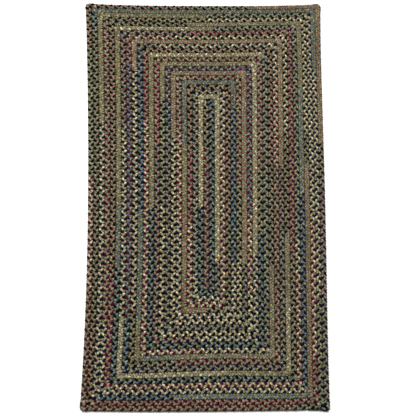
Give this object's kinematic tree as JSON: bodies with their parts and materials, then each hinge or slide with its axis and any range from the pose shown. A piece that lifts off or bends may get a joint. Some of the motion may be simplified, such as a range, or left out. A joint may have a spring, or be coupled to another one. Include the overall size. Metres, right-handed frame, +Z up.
{
  "type": "braided rug",
  "caption": "Flat rectangular rug of one plait wound in a squared coil from a short straight middle, with ribbed faces and a tapered end at one corner.",
  "frame": {"origin": "middle of the underside of the rug's box, on the surface that it lies on", "axes": "+Z up, +Y along the rug's length towards the end where the rows are closest, +X towards the side where the plait ends"},
  "size_m": [0.7018, 1.2294, 0.011],
  "materials": {
    "plaited_yarn": "matt plaited yarn in sage with tan, rust, burgundy, navy, blue and black"
  },
  "bodies": {
    "root": {"braided_rug": "plaited_yarn"}
  },
  "joints": []
}
